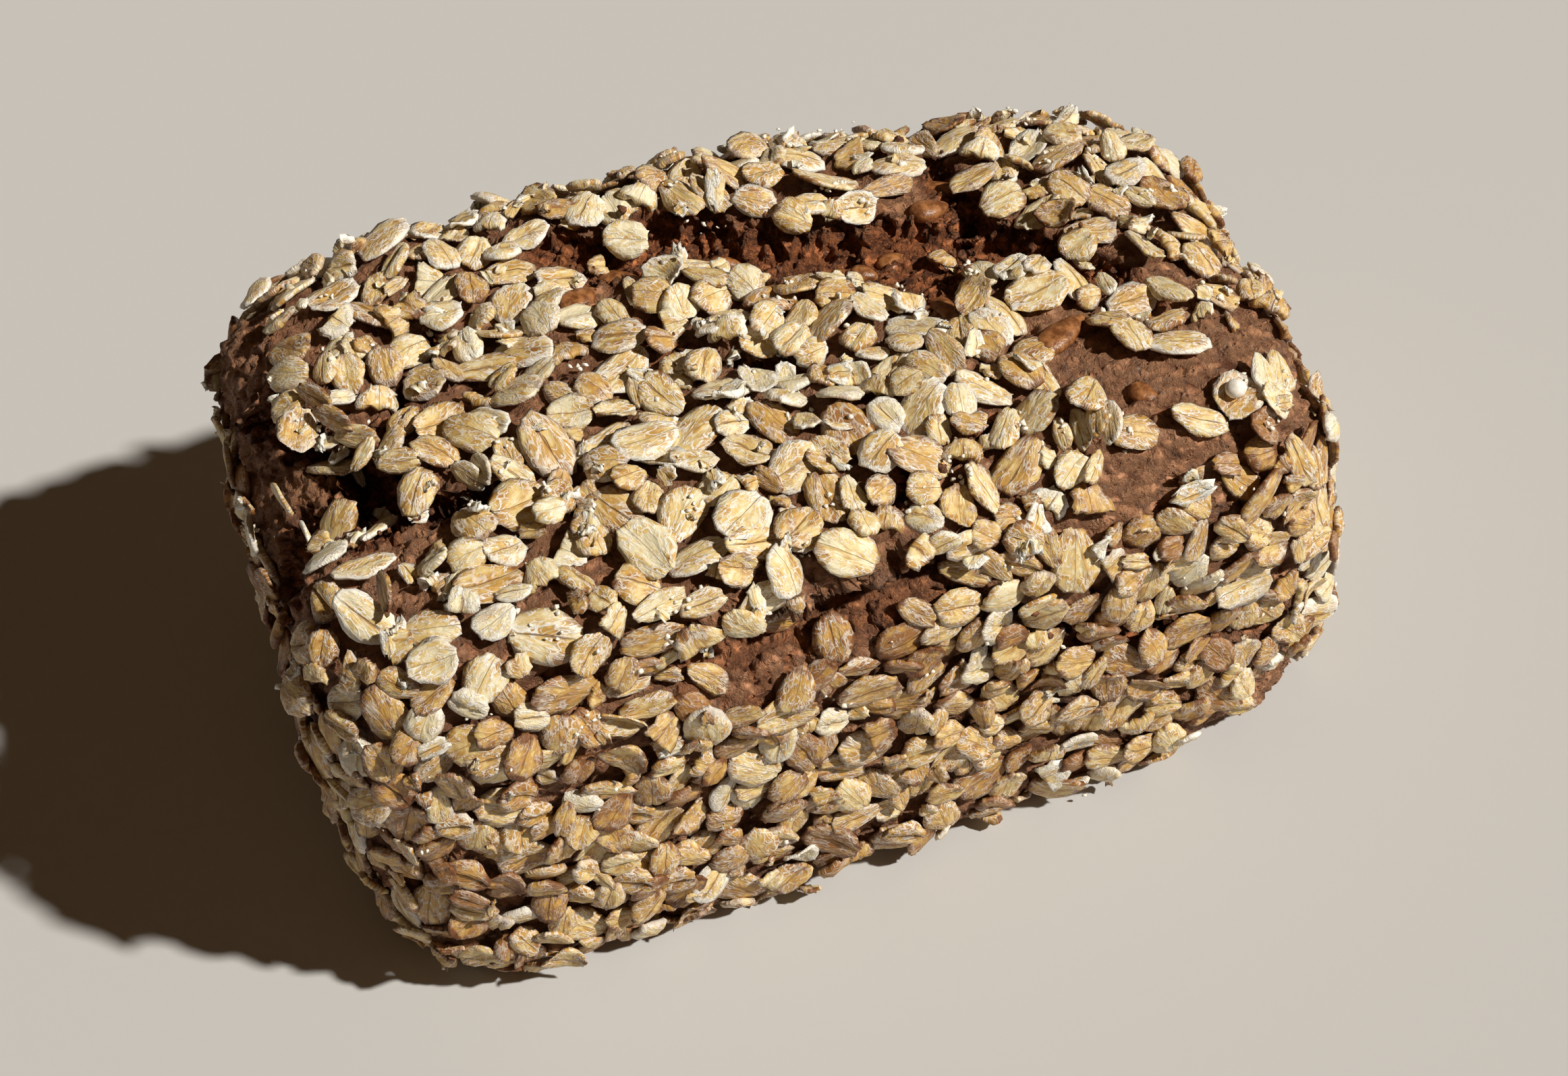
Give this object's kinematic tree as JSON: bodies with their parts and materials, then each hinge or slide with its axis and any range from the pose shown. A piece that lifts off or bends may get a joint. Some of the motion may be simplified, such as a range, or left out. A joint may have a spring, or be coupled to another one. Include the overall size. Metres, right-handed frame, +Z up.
{
  "type": "rye bread loaf",
  "caption": "Tin-baked dark rye loaf with rounded corners, torn crust and rolled oat flakes pressed all over it, resting on its flat base.",
  "frame": {"origin": "centre of the bounding box in plan, at the flat base the loaf rests on", "axes": "+X along the loaf's length towards its lower end, -Y the front side, +Z up"},
  "size_m": [0.1648, 0.1024, 0.0816],
  "materials": {
    "crust": "dry matt crust and oat flakes"
  },
  "bodies": {
    "root": {"loaf": "crust"}
  },
  "joints": []
}
